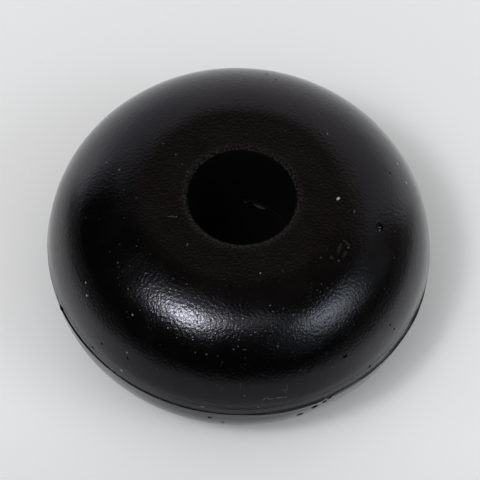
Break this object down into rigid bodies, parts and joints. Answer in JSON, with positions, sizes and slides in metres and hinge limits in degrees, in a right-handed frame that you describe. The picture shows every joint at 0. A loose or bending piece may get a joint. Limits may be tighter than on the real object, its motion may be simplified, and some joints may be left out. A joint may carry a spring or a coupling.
{
  "type": "bump stop",
  "caption": "Round moulded rubber bump stop with a plain central bore, which slides on a damper rod and cushions the end of the stroke.",
  "frame": {"origin": "centre of the bore at the base, which rests on Z = 0", "axes": "+Z along the bore, from the base to the top face"},
  "size_m": [0.0505, 0.0504, 0.025],
  "materials": {
    "rubber": "satin black moulded rubber with fine grain, small bubble pits and dust"
  },
  "bodies": {
    "root": {"bumper": "rubber"}
  },
  "joints": []
}
